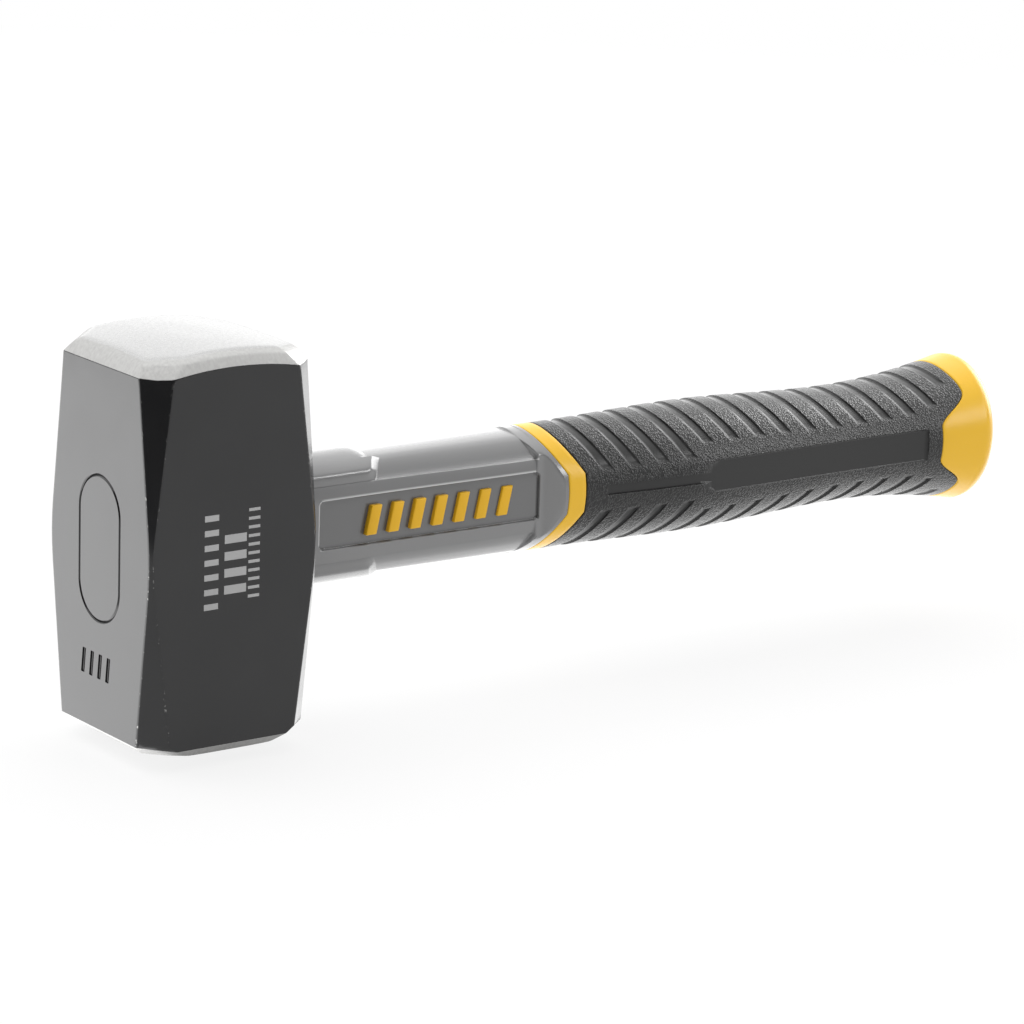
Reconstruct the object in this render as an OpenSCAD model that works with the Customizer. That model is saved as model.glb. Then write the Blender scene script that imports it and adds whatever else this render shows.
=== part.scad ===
// Club hammer with a faceted forged head and a moulded two-colour handle.
// Units are millimetres. +Z runs up through the head, +X runs along the handle
// to its butt. The origin is the middle of the lower striking face.

/* [Head] */
// Width of the square head body across two cheeks
head_w = 44.1; // [40:0.1:50]
// Length of the head over both striking faces
head_l = 95.8; // [88:0.1:110]
// Distance from a striking face back to the outer edge of its front and back bevels
bevel_drop = 5.5; // [4.5:0.1:7]
// How far the bevel comes in over the first part of its height
bevel_in = 2.4; // [1.5:0.1:3]
// Height over which the bevel comes in by that much
bevel_rise = 3.5; // [3:0.1:4.5]
// How far the bevel comes in over that height at the four corners
bevel_in_corner = 3.5; // [2.5:0.1:4]
// Radius of the upper striking face along the handle
crown_r = 96; // [80:1:160]
// Radius of the lower striking face across the handle
lower_r = 70; // [60:1:120]
// Radius of both striking faces in their other direction, where they are nearly flat
across_r = 320; // [200:5:400]
// Depth of the upper cheek bevels below the crown, at the cheeks
cheek_drop = 4.0; // [3:0.1:5]
// Distance from the lower striking face back to the outer edge of its cheek bevels
lower_drop = 4.8; // [4:0.1:6]
// How far the cheek bevels come in while they rise by the bevel's height
cheek_in = 2.2; // [1.5:0.1:3]
// Length of the flat at the middle of each striking face, along the handle
pad_d = 10; // [6:0.5:14]
// Corner chamfer at the ends of the head, measured along a cheek
corner_end = 5.6; // [4:0.1:8]
// Corner chamfer at the middle of the head, measured along a cheek
corner_mid = 0.2; // [0.1:0.1:2]
// Height over which the two corner tapers blend at mid head
corner_blend = 14; // [10:1:26]

/* [Eye] */
// Width of the eye where it opens in a cheek
eye_w = 17.6; // [16:0.1:19]
// Straight part of the eye between its two round ends
eye_span = 16.4; // [14:0.1:18]
// How much narrower the eye is at the middle of the head
eye_pinch = 2; // [1:0.1:3]
// Depth of the oval plug that closes the front of the eye
plug_t = 4; // [3:0.1:6]
// Chamfer round the plug that leaves a fine groove at the eye's edge
plug_chamfer = 0.5; // [0.3:0.1:0.8]

/* [Core] */
// Width of the glass-fibre core rod
core_w = 9; // [8:0.1:10]
// Height of the glass-fibre core rod
core_h = 20; // [17:0.1:20.5]
// Distance from the head's axis to the hidden end of the rod
core_reach = 212; // [190:1:214]

/* [Neck] */
// Width over the flat sides of the neck beside the head
neck_w = 16.6; // [15.5:0.1:18]
// Width over the flat sides of the neck where it starts to flare
neck_w_end = 18.2; // [17:0.1:20]
// Height of the neck beside the head
neck_h = 28.6; // [27:0.1:30]
// Height of the neck where it starts to flare
neck_h_end = 30; // [28:0.1:30.5]
// Lean of the four sloping facets, from level
facet_lean = 38.2; // [35:0.1:42]
// Distance across two opposite sloping facets beside the head
facet_across = 24.5; // [23.5:0.1:26]
// Distance across two opposite sloping facets at the flare
facet_across_end = 25.5; // [24.5:0.1:27]
// Width of the collar that seats on the head
collar_w = 18.2; // [17:0.1:20]
// Height of the collar that seats on the head
collar_h = 31.8; // [30.5:0.1:34]
// Reach of the collar along the flat sides, from the head's axis
collar_x = 44.7; // [38:0.1:50]
// Level above and below the axis where the collar stands out from the flat side
collar_z = 9.3; // [8:0.1:10.5]
// Length of the slope that ends the collar
collar_slope = 2.4; // [1.5:0.1:4]
// Start of the side recess, from the head's axis
recess_x = 31.6; // [28:0.1:36]
// End of the side recess, from the head's axis
recess_end = 93.6; // [80:0.1:94.5]
// Height of the side recess
recess_h = 11.8; // [9:0.1:13]
// Depth of the side recess
recess_t = 0.8; // [0.5:0.1:1.2]
// Corner radius of the side recess
recess_r = 1.2; // [0.8:0.1:2]
// Where the flare wall meets the flat side, from the head's axis
flare_x = 92.4; // [90:0.1:94]

/* [Ring] */
// Front edge of the coloured ring on the flat side, from the head's axis
ring_x = 100.1; // [98:0.1:104]
// Length of the coloured ring along the handle
ring_l = 4.95; // [3:0.05:7]
// Width of the handle at the ring
ring_w = 24.2; // [23:0.1:27]
// Height of the handle at the ring
ring_h = 30.7; // [30.2:0.1:33]
// Slant of the ring, the grip slots and the neck walls, in mm along per mm up
slant = 0.69; // [0.5:0.01:0.8]
// Half height of the straight part of the ring, at the side
slant_z = 4.8; // [3:0.1:6]

/* [Grip] */
// Reach of the handle from the head's axis to the end of the butt
reach = 232.5; // [225:0.5:262]
// Distance from the butt's rim to the end face
rim_back = 4.4; // [3:0.1:6]
// Width of the grip at its swell
swell_w = 29.8; // [28:0.1:32]
// Height of the grip at its swell
swell_h = 32.1; // [30:0.1:35]
// Place of the swell, from the head's axis
swell_x = 142; // [135:1:150]
// Width of the grip at its waist
waist_w = 29; // [27:0.1:31]
// Height of the grip at its waist
waist_h = 29; // [27:0.1:31]
// Place of the waist, ahead of the butt's rim
waist_back = 40; // [36:1:44]
// Width of the butt at its rim
butt_w = 32.9; // [31:0.1:37]
// Height of the butt at its rim
butt_h = 37.3; // [34:0.1:42]
// Thickness of the grip's rubber at the ring
rubber_t = 3.2; // [3:0.1:3.5]
// Number of slots in the grip, counted from the ring
slots = 15; // [12:1:15]
// Distance from one grip slot to the next
slot_pitch = 8.03; // [7.8:0.01:8.2]
// Distance from the ring to the far wall of the first slot
slot_first = 8.1; // [6:0.1:9]
// Width of a grip slot along the handle
slot_w = 3.4; // [2.6:0.1:4]
// Depth of a grip slot at its deep wall
slot_t = 0.95; // [0.6:0.05:1.2]
// Depth of a grip slot at its shallow wall
slot_lip = 0.35; // [0.2:0.05:0.5]

/* [Side panel] */
// Height of the smooth panel on each side of the grip
panel_h = 8; // [6:0.1:9]
// Height of the narrow strip that leads into the panel
strip_h = 2.6; // [2:0.1:4]
// Depth of the panel and the strip
panel_t = 0.8; // [0.6:0.05:1]
// Start of the strip, behind the ring
strip_back = 6; // [4:0.5:10]
// Place of the panel's point, behind the ring
point_back = 34; // [28:0.5:40]
// Length of the panel's pointed start
point_l = 3.6; // [2:0.1:5]
// Distance from the panel's end to the butt's end
panel_back = 22.3; // [20:0.1:26]

/* [Butt] */
// Distance from the tongue on each side to the butt's end
tongue_back = 18; // [16:0.1:20]
// How far the rubber lobes pass the tongues toward the end
lobe_l = 8.5; // [5:0.1:9.5]
// Half height of the tongue's flat tip
tongue_z = 4.2; // [3:0.1:6]
// Level above and below the axis of the lobe tips
lobe_z = 12; // [10.5:0.1:13]
// How far the rubber draws back again at the top and bottom
crest_l = 3.6; // [2.5:0.1:6]

/* [Hidden] */
$fn = 48;

hw = head_w / 2;                     // from the head's axis to a cheek
hz = head_l / 2;                     // from the handle's axis to a striking face
rim_x = reach - rim_back;            // plane of the butt's rim
waist_x = rim_x - waist_back;        // plane of the grip's waist
panel_end = reach - panel_back;      // end of the side panel
tongue_x = reach - tongue_back;      // tip of each coloured tongue
sleeve_w = ring_w - 2 * rubber_t;    // the coloured shell under the rubber
sleeve_h = ring_h - 2 * rubber_t;
far = 400;                           // longer than the part in every direction

// ---- small helpers -------------------------------------------------------

// Lift a shape from the handle's axis to its place over the lower face.
module on_axis() { translate([0, 0, hz]) children(); }

// Extrude a drawing of Y and Z along X, from x0 to x1.
module along(x0, x1) {
    translate([x0, 0, 0]) rotate([90, 0, 90])
        linear_extrude(x1 - x0) children();
}

// Extrude a drawing of X and Z to both sides of the middle plane.
module across(w = far) { rotate([90, 0, 0]) linear_extrude(w, center = true) children(); }

// Extrude a drawing of X and Y up and down from the axis.
module plan(h = far) { linear_extrude(h, center = true) children(); }

// A smooth step from 0 to 1 while x goes from a to b.
function step(x, a, b) = let (t = min(1, max(0, (x - a) / (b - a)))) t * t * (3 - 2 * t);

// A closed outline from a list of [place, half width] pairs.
function both_sides(pts) = concat(pts, [for (i = [len(pts) - 1:-1:0]) [pts[i][0], -pts[i][1]]]);

// An oval drawing with two round ends, standing up in Z.
module oval(w, span) {
    for (s = [-1, 1]) translate([0, s * span / 2]) circle(d = w);
    square([w, span], center = true);
}

// An oval prism that narrows evenly from w0 to w1 between x0 and x1.
module tapered_oval(x0, x1, w0, w1, span) {
    translate([x0, 0, 0]) {
        for (s = [-1, 1]) translate([0, 0, s * span / 2])
            rotate([0, 90, 0]) cylinder(d1 = w0, d2 = w1, h = x1 - x0);
        linear_extrude(span, center = true)
            polygon([[0, -w0 / 2], [x1 - x0, -w1 / 2], [x1 - x0, w1 / 2], [0, w0 / 2]]);
    }
}

// ---- head ----------------------------------------------------------------

bevel_z = hz - bevel_drop;           // outer edge of the bevel
over_z = bevel_z + 2 * bevel_rise;   // where a bevel's line ends, past the crown
function past_bevel(z) = max(0, abs(z) - bevel_z) / bevel_rise;
// Half length along the handle at height z.
function front_r(z) = hw - bevel_in * past_bevel(z);
// Corner chamfer at height z: two straight tapers, eased into each other.
function corner(z) = let (b = corner_blend / 2, k = (corner_end - corner_mid) / bevel_z)
    corner_mid + k * (abs(z) > b ? abs(z) : (z * z / b + b) / 2);
// Distance from the head's axis to a corner facet at height z.
function corner_r(z) = (head_w - corner(min(abs(z), bevel_z))) / sqrt(2)
    - bevel_in_corner * past_bevel(z);
corner_zs = [-over_z, -bevel_z, for (i = [-4:4]) i * corner_blend / 8, bevel_z, over_z];
front_zs = [-hz, -bevel_z, bevel_z, hz];
wide = hw + 2;                       // the domed ends are cut from wider wheels
pad_r = pad_d / 2;

// A standing outline with half width f at height z, turned about Z.
module outline(pts, turn, w = far) {
    rotate([90, 0, turn]) linear_extrude(w, center = true)
        polygon(concat(pts, [for (i = [len(pts) - 1:-1:0]) [-pts[i][0], pts[i][1]]]));
}

// A wheel that lies on its side: its tread has the radius r and is slightly round
// across. Its top is as far above the origin as puts a flat of length pad_d at 0.
module wheel(r) {
    translate([0, 0, r - sqrt(r * r - pad_r * pad_r) - r]) rotate([90, 0, 0])
        rotate_extrude($fn = 240) intersection() {
            translate([r - across_r, 0]) circle(r = across_r, $fn = 720);
            children();
        }
}

// The upper end rolls along the handle. The wheel's rims are the cheek bevels.
module upper_end() {
    rim = crown_r - cheek_drop;
    k = bevel_rise / cheek_in;
    tip = hw - (crown_r + 1 - rim) / k;
    translate([0, 0, hz]) wheel(crown_r)
        polygon([[0, -wide], [rim - 2 * k, -wide], [crown_r + 1, -tip],
                 [crown_r + 1, tip], [rim - 2 * k, wide], [0, wide]]);
}

// The lower end rolls across the handle, and its cheek bevels are straight.
module lower_end() {
    translate([0, 0, -hz]) rotate([180, 0, 90]) wheel(lower_r)
        translate([0, -wide]) square([lower_r + 1, 2 * wide]);
}

// Cheek outline at the lower end.
lower_z = hz - lower_drop;
lower_in = cheek_in / bevel_rise * lower_drop;

// Width of the eye at distance x from the head's middle.
function eye_at(x) = eye_w - eye_pinch * (1 - abs(x) / hw);

module head() {
    color([0.13, 0.13, 0.14]) on_axis() difference() {
        intersection() {
            outline([for (z = front_zs) [front_r(z), z]], 0);
            outline([[hw - lower_in, -hz], [hw, -lower_z], [hw, hz]], 90);
            outline([for (z = corner_zs) [corner_r(z), z]], 45);
            outline([for (z = corner_zs) [corner_r(z), z]], 135);
            upper_end();
            lower_end();
        }
        tapered_oval(-hw - 1, 0, eye_at(hw + 1), eye_at(0), eye_span);
        tapered_oval(0, hw + 1, eye_at(0), eye_at(hw + 1), eye_span);
    }
}

// ---- what fills the eye ----------------------------------------------------

plug_x = -hw + plug_t;               // back of the plug

module eye_plug() {
    c = plug_chamfer;
    color([0.2, 0.2, 0.21]) on_axis() {
        tapered_oval(-hw, -hw + c, eye_w - 2 * c, eye_at(hw - c), eye_span);
        tapered_oval(-hw + c, plug_x, eye_at(hw - c), eye_at(plug_x), eye_span);
    }
}

module core_solid(x0, x1) { along(x0, x1) oval(core_w, core_h - core_w); }

module core_rod() { color([0.85, 0.8, 0.6]) on_axis() core_solid(plug_x, core_reach); }

module eye_resin() {
    color([0.5, 0.45, 0.35]) on_axis() difference() {
        union() {
            tapered_oval(plug_x, 0, eye_at(plug_x), eye_at(0), eye_span);
            tapered_oval(0, hw, eye_at(0), eye_at(hw), eye_span);
        }
        core_solid(plug_x - 1, hw + 1);
    }
}

// ---- the handle's outline ---------------------------------------------------

// Half width and half height of the handle behind the ring, at distance x.
function half_w(x) = x < swell_x ? ring_w / 2 + (swell_w - ring_w) / 2 * step(x, ring_x - 3, swell_x)
    : x < waist_x ? swell_w / 2 + (waist_w - swell_w) / 2 * step(x, swell_x, waist_x)
    : waist_w / 2 + (butt_w - waist_w) / 2 * pow(min(1, (x - waist_x) / waist_back), 2);
function half_h(x) = x < swell_x ? ring_h / 2 + (swell_h - ring_h) / 2 * step(x, ring_x - 3, swell_x)
    : x < waist_x ? swell_h / 2 + (waist_h - swell_h) / 2 * step(x, swell_x, waist_x)
    : waist_h / 2 + (butt_h - waist_h) / 2 * pow(min(1, (x - waist_x) / waist_back), 2);

// An ellipse of straight strips, drawn in Y and Z.
function ellipse(w, h, n = 48) = [for (i = [0:n - 1]) [w / 2 * cos(i * 360 / n), h / 2 * sin(i * 360 / n)]];

// Outline in X and Z between two slanted edges that stand at x0 and x1 at the side.
function edge_at(x, z) = x - slant * max(0, abs(z) - slant_z);
edge_zs = [-30, -slant_z, slant_z, 30];
function slanted(x0, x1) = concat([for (z = edge_zs) [edge_at(x0, z), z]],
    [for (i = [3:-1:0]) [edge_at(x1, edge_zs[i]), edge_zs[i]]]);

// ---- neck --------------------------------------------------------------------

flare_side = flare_x + 2;            // where the flat side starts to flare out
function neck_mix(x) = step(x, hw + 25, flare_x);
function neck_a(x) = (neck_w + (neck_w_end - neck_w) * neck_mix(x)) / 2;
function facet_a(x) = (facet_across + (facet_across_end - facet_across) * neck_mix(x)) / 2;
neck_xs = [hw, hw + 25, for (i = [1:6]) hw + 25 + (flare_x - hw - 25) * i / 6, ring_x + 3];

// The straight neck: flat sides, four sloping facets and a round top and bottom.
module neck_bar() {
    intersection() {
        plan() polygon(both_sides([for (x = neck_xs) [x, neck_a(x)]]));
        rotate([facet_lean, 0, 0]) plan()
            polygon(both_sides([for (x = neck_xs) [x, facet_a(x)]]));
        rotate([-facet_lean, 0, 0]) plan()
            polygon(both_sides([for (x = neck_xs) [x, facet_a(x)]]));
        translate([hw, 0, 0]) rotate([0, 90, 0])
            cylinder(d1 = neck_h, d2 = neck_h_end, h = ring_x + 3 - hw);
    }
}

// One half of the collar, above the axis. It ends in a slanted slope.
module collar_half() {
    lean = atan(slant);
    x1 = collar_x * cos(lean) - collar_z * sin(lean);      // slope's start, seen square on
    x2 = x1 + collar_slope * cos(lean);
    top = collar_h / 2;
    end = collar_x + collar_slope;                         // slope's end at the flat side
    brow = end + slant * (top - collar_z);
    intersection() {
        along(hw, brow + 5) oval(collar_w, collar_h - collar_w);
        across() polygon([[hw, collar_z], [end, collar_z], [brow - 0.6 * slant, top - 0.6],
                          [brow - 2, top + 0.01], [hw, top + 0.01]]);
        rotate([0, lean, 0]) plan() polygon(both_sides([[-far, collar_w / 2],
            [x1, collar_w / 2], [x2, collar_w / 2 - 1.6 * collar_slope]]));
    }
}

// The thick end of the neck, behind the slanted walls of the sloping facets.
module flare() {
    wall = function (z) flare_x - slant * max(0, abs(z) - collar_z);
    intersection() {
        along(hw + 40, ring_x + 3) polygon(ellipse(ring_w, ring_h));
        across() polygon(concat([for (z = [-30, -collar_z, collar_z, 30]) [wall(z), z]],
                                [[ring_x + 3, 30], [ring_x + 3, -30]]));
        plan() polygon(both_sides([[hw, neck_w_end / 2], [flare_side, neck_w_end / 2],
                                   [ring_x - 1, ring_w / 2], [ring_x + 4, ring_w / 2]]));
    }
}

// The shallow recess in each flat side: a rounded tray that follows the side.
module side_recess() {
    difference() {
        across() {
            for (x = [recess_x + recess_r, recess_end - recess_r], s = [-1, 1])
                translate([x, s * (recess_h / 2 - recess_r)]) circle(r = recess_r);
            translate([recess_x, recess_r - recess_h / 2])
                square([recess_end - recess_x, recess_h - 2 * recess_r]);
            translate([recess_x + recess_r, -recess_h / 2])
                square([recess_end - recess_x - 2 * recess_r, recess_h]);
        }
        plan() polygon(both_sides([for (x = neck_xs) [x, neck_a(x) - recess_t]]));
    }
}

module neck_shell() {
    color([0.5, 0.5, 0.5]) on_axis() difference() {
        intersection() {
            union() {
                neck_bar();
                collar_half();
                mirror([0, 0, 1]) collar_half();
                flare();
            }
            across() polygon(slanted(-far, ring_x));
        }
        side_recess();
        core_solid(hw - 1, ring_x + 4);
    }
}

// ---- grip ----------------------------------------------------------------------

grip_x = ring_x + ring_l;            // front edge of the rubber at the side
// Angles round a quarter of the handle. Close pairs make the ends of the slots.
quarter = [0, 9, 18.5, 20.5, 25.5, 30.5, 32.5, 41, 50, 60, 70, 80, 90];
angles = [for (k = [0:3], i = [0:11]) 90 * k + (k % 2 == 0 ? quarter[i] : 90 - quarter[12 - i])];
// Angle from the side, 0 to 90, of any angle round the handle.
function from_side(t) = let (u = t % 180) min(u, 180 - u);

// Far wall of slot i at the side, and the angle where the slot ends.
function slot_x(i) = grip_x + slot_first + i * slot_pitch;
function slot_end(i) = i < 4 ? 19.5 : i < 13 ? 31.5 : i < 14 ? 36 : 55;
// Stations along the grip: [place at the side, depth, slot number].
stations = concat([[grip_x - 2, 0, 0]],
    [for (i = [0:slots - 1], p = [[-slot_w, 0], [0.15 - slot_w, slot_lip], [-0.2, slot_t], [0, 0]])
        [slot_x(i) + p[0], p[1], i]],
    [[slot_x(slots - 1) + 3, 0, 0], [reach + 2, 0, 0]]);

// A point on the handle: its place follows the slanted edges.
function skin(s, t, d) = let (x = edge_at(s, half_h(edge_at(s, half_h(s) * sin(t))) * sin(t)))
    [x, (half_w(x) - d) * cos(t), (half_h(x) - d) * sin(t)];

// A closed loft through rings of 48 points each. Its two ends are strips in Z.
module loft(rings) {
    n = 48;
    m = len(rings);
    last = (m - 1) * n;
    // Pairs left and right at one level, from the bottom (36) up to the top (12).
    strips = [for (i = [0:23]) let (a = (36 + i) % n, b = (36 + i + 1) % n,
                  c = (36 - i - 1 + n) % n, d = (36 - i + n) % n)
              i == 0 ? [a, b, c] : i == 23 ? [a, b, d] : [a, b, c, d]];
    polyhedron(points = [for (r = rings, p = r) p],
        faces = concat(
            [for (f = strips) f],
            [for (f = strips) [for (k = [len(f) - 1:-1:0]) last + f[k]]],
            [for (j = [0:m - 2], i = [0:n - 1], k = [0, 1]) let (e = (i + 1) % n)
                k == 0 ? [j * n + i, (j + 1) * n + i, (j + 1) * n + e]
                       : [j * n + i, (j + 1) * n + e, j * n + e]]),
        convexity = 6);
}

// The coloured shell under the rubber.
module sleeve(x0, x1) { along(x0, x1) polygon(ellipse(sleeve_w, sleeve_h)); }

// Edge of the rubber at the butt: tongues at the sides, lobes between, a crest.
function butt_edge(z) = let (u = abs(z))
    tongue_x + lobe_l * step(u, tongue_z, lobe_z) - crest_l * step(u, lobe_z, butt_h / 2);
butt_zs = [for (i = [-16:16]) i * (butt_h / 2 + 1) / 16];

// Outline of a side panel: a strip, a pointed start and the wide panel.
module panel_outline() {
    polygon(both_sides([[grip_x + strip_back, strip_h / 2], [grip_x + point_back, strip_h / 2],
        [grip_x + point_back + point_l, panel_h / 2], [panel_end, panel_h / 2]]));
}
panel_xs = [for (i = [0:16]) grip_x + (reach - grip_x - 10) * i / 16];

module grip() {
    color([0.16, 0.16, 0.16]) on_axis() difference() {
        intersection() {
            loft([for (s = stations) [for (t = angles)
                skin(s[0], t, from_side(t) > slot_end(s[2]) ? s[1] : 0)]]);
            across() polygon(concat([for (z = edge_zs) [edge_at(grip_x, z), z]],
                [for (i = [32:-1:0]) [butt_edge(butt_zs[i]), butt_zs[i]]]));
        }
        sleeve(hw, reach);
        difference() {
            across() panel_outline();
            plan() polygon(both_sides([for (x = panel_xs) [x, half_w(x) - panel_t]]));
        }
    }
}

// ---- coloured shell: ring, sleeve under the rubber, butt --------------------------

// Butt stations: the flared skin, then a rounded rim and the end face.
rim_r = rim_back;
function butt_ring(x, d) = [for (t = angles) [x, (half_w(x) - d) * cos(t), (half_h(x) - d) * sin(t)]];
butt_rings = concat(
    [for (i = [0:5]) let (x = tongue_x - 3 + (rim_x - tongue_x + 3) * i / 5) butt_ring(x, 0)],
    [for (i = [1:5]) let (q = i * 16) butt_ring(rim_x + rim_r * sin(q) / sin(80), rim_r * (1 - cos(q)))]);

module handle_shell() {
    color([0.94, 0.74, 0.16]) on_axis() difference() {
        union() {
            intersection() {
                along(hw + 40, ring_x + 20) polygon(ellipse(ring_w, ring_h));
                across() polygon(slanted(ring_x, grip_x));
            }
            intersection() {
                sleeve(hw + 40, rim_x - 4);
                across() polygon(slanted(ring_x, reach + 40));
            }
            intersection() {
                loft(butt_rings);
                across() polygon(concat([for (z = butt_zs) [butt_edge(z), z]],
                                        [[reach + 5, butt_h / 2 + 1], [reach + 5, -butt_h / 2 - 1]]));
            }
        }
        core_solid(hw, core_reach);
    }
}

// ---- choose what to draw ------------------------------------------------------------

head();
eye_plug();
eye_resin();
core_rod();
neck_shell();
handle_shell();
grip();
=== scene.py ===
# %% [markdown]
# # A club hammer, dressed in Blender
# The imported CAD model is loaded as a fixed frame. Every piece made below lies in that
# same frame, in metres, so nothing needs fitting. Sizes are written in millimetres,
# because that is how a maker would measure this hammer. Places are measured from the
# middle of the head, where the handle's axis crosses it.

# %% Load the frame
import math

import bmesh
import bpy
from mathutils import Matrix, Vector


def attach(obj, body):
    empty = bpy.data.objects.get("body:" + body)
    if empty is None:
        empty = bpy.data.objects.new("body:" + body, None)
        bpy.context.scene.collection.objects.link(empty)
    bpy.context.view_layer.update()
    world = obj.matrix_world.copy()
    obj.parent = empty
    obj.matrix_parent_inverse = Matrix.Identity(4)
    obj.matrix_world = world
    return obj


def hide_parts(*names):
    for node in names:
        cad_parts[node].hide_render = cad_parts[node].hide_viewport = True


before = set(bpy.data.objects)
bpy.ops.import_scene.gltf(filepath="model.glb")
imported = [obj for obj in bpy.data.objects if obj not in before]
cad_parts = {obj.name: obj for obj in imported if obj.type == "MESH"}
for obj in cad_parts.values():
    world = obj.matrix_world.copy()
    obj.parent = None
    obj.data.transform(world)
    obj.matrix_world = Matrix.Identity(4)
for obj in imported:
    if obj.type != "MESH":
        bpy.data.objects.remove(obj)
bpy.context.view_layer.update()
MM = 0.001
HEAD_L = 95.8          # over both striking faces
HW = 22.05             # from the head's axis to a cheek
HZ = HEAD_L / 2        # from the handle's axis to a striking face


def place(p):
    """A point in millimetres from the head's middle, as a point of the frame."""
    return (p[0] * MM, p[1] * MM, (p[2] + HZ) * MM)


def ease(x, a, b):
    """A smooth step from 0 to 1 while x goes from a to b."""
    t = min(1.0, max(0.0, (x - a) / (b - a)))
    return t * t * (3 - 2 * t)


def linked(name, data):
    """A new object that holds the data, put in the scene."""
    thing = bpy.data.objects.new(name, data)
    bpy.context.scene.collection.objects.link(thing)
    return thing


# %% [markdown]
# ## Camera
# A product photograph like this is taken from far away with a long lens, which keeps
# the hammer's edges nearly parallel. The camera looks down a little on the front of the
# head, with the handle running away to the right.

# %% Camera
def look_from(azimuth, elevation, roll):
    """Camera axes: right, up and back, as the columns of a rotation."""
    a, e, r = (math.radians(v) for v in (azimuth, elevation, roll))
    back = Vector((math.sin(a) * math.cos(e), -math.cos(a) * math.cos(e), math.sin(e)))
    right = Vector((math.cos(a), math.sin(a), 0))
    up = back.cross(right)
    rolled_right = right * math.cos(r) + up * math.sin(r)
    rolled_up = up * math.cos(r) - right * math.sin(r)
    return Matrix((rolled_right, rolled_up, back)).transposed()


# Solved from the photograph: degrees, then millimetres right, up and back from the head.
AZIMUTH, ELEVATION, ROLL = -36.121, 14.416, 1.777
FROM_HEAD = Vector((74.651, 5.561, 1025.33))
FOCAL_PIXELS, IMAGE_PIXELS, SENSOR = 4515.38, 1024, 36

camera = linked("camera", bpy.data.cameras.new("camera"))
turn = look_from(AZIMUTH, ELEVATION, ROLL)
camera.matrix_world = Matrix.Translation(place(turn @ FROM_HEAD)) @ turn.to_4x4()
camera.data.lens = SENSOR * FOCAL_PIXELS / IMAGE_PIXELS
camera.data.clip_end = 20
bpy.context.scene.camera = camera
bpy.context.scene.view_settings.view_transform = "Standard"
print("camera at", tuple(round(v, 3) for v in camera.location))

# %% [markdown]
# ## Node helpers
# Materials and Geometry Nodes are trees of small boxes. One helper adds a box, sets its
# options and connects or fills its inputs, so that each tree below reads like a recipe.

# %% Node helpers
def add(tree, kind, inputs=None, **options):
    """Add a node. Inputs are given by name or number, as a value or another node's socket."""
    node = tree.nodes.new(kind)
    for name, value in options.items():
        setattr(node, name, value)
    for key, value in (inputs or {}).items():
        socket = node.inputs[key]
        if isinstance(value, bpy.types.NodeSocket):
            tree.links.new(value, socket)
        else:
            socket.default_value = value
    return node


def box(tree, kind, inputs=None, **options):
    """The first output of a new box."""
    return add(tree, kind, inputs, **options).outputs[0]


def maths(tree, operation, *values, clamp=False):
    """A Math node's result, from one to three numbers or sockets."""
    return add(tree, "ShaderNodeMath", dict(enumerate(values)), operation=operation,
               use_clamp=clamp).outputs[0]


def blend(tree, factor, a, b):
    """A colour between a and b."""
    a, b = (c if isinstance(c, bpy.types.NodeSocket) else (*c, 1) for c in (a, b))
    return add(tree, "ShaderNodeMix", {0: factor, 6: a, 7: b}, data_type="RGBA",
               clamp_factor=True).outputs[2]


def remap(tree, value, a, b, c=0.0, d=1.0):
    """Map a..b to c..d, held at both ends."""
    return add(tree, "ShaderNodeMapRange", {0: value, 1: a, 2: b, 3: c, 4: d}).outputs[0]


def new_material(name, **settings):
    """A material with a Principled BSDF, and its plain settings put on the shader itself."""
    material = bpy.data.materials.new(name)
    material.use_nodes = True
    tree = material.node_tree
    tree.nodes.clear()
    shader = add(tree, "ShaderNodeBsdfPrincipled", settings)
    add(tree, "ShaderNodeOutputMaterial", {"Surface": shader.outputs[0]})
    return material, tree, shader


def wire(tree, node, sockets):
    """Connect another node's sockets to a node's inputs, given by name."""
    for name, socket in sockets.items():
        tree.links.new(socket, node.inputs[name])


def new_group(name, inputs, outputs):
    """A shader node group with named number inputs, and outputs given as name: type."""
    group = bpy.data.node_groups.new(name, "ShaderNodeTree")
    for key, value in inputs.items():
        kind = "NodeSocketVector" if isinstance(value, tuple) else "NodeSocketFloat"
        group.interface.new_socket(key, in_out="INPUT", socket_type=kind).default_value = value
    for key, kind in outputs.items():
        group.interface.new_socket(key, in_out="OUTPUT", socket_type=kind)
    return group, add(group, "NodeGroupInput").outputs, add(group, "NodeGroupOutput").inputs


def use(tree, group, **values):
    """Place a group in a material with its own values. Underscores stand for spaces."""
    named = {key.replace("_", " "): value for key, value in values.items()}
    return add(tree, "ShaderNodeGroup", named, node_tree=group).outputs


def here(tree):
    """The point on the piece, in the frame's metres."""
    return add(tree, "ShaderNodeTexCoord").outputs["Object"]


# %% [markdown]
# ## Shared effects
# Three effects come back in several finishes. Speckle is a fine random bump, which takes
# the mirror look off lacquer and moulded plastic. Smudges are broad, faint changes in
# tone or gloss. Grinding marks are short streaks that a belt leaves in steel, drawn out
# along the upright.

# %% Shared effects
def noise(tree, vector, scale, detail, rough):
    """Random cloudy values from 0 to 1. The scale is in clouds per metre."""
    return add(tree, "ShaderNodeTexNoise", {"Vector": vector, "Scale": scale, "Detail": detail,
                                            "Roughness": rough}).outputs["Fac"]


def bump(tree, height, depth):
    """A normal that makes the height look embossed. The depth is in metres."""
    return add(tree, "ShaderNodeBump", {"Strength": 1.0, "Distance": depth,
                                        "Height": height}).outputs[0]


speckle, i, o = new_group("Speckle bump", {"Point": (0.0, 0.0, 0.0), "Grain per metre": 2000.0,
                                           "Depth": 0.00002}, {"Normal": "NodeSocketVector"})
grain = noise(speckle, i["Point"], i["Grain per metre"], 3.0, 0.6)
speckle.links.new(bump(speckle, grain, i["Depth"]), o["Normal"])

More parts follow.
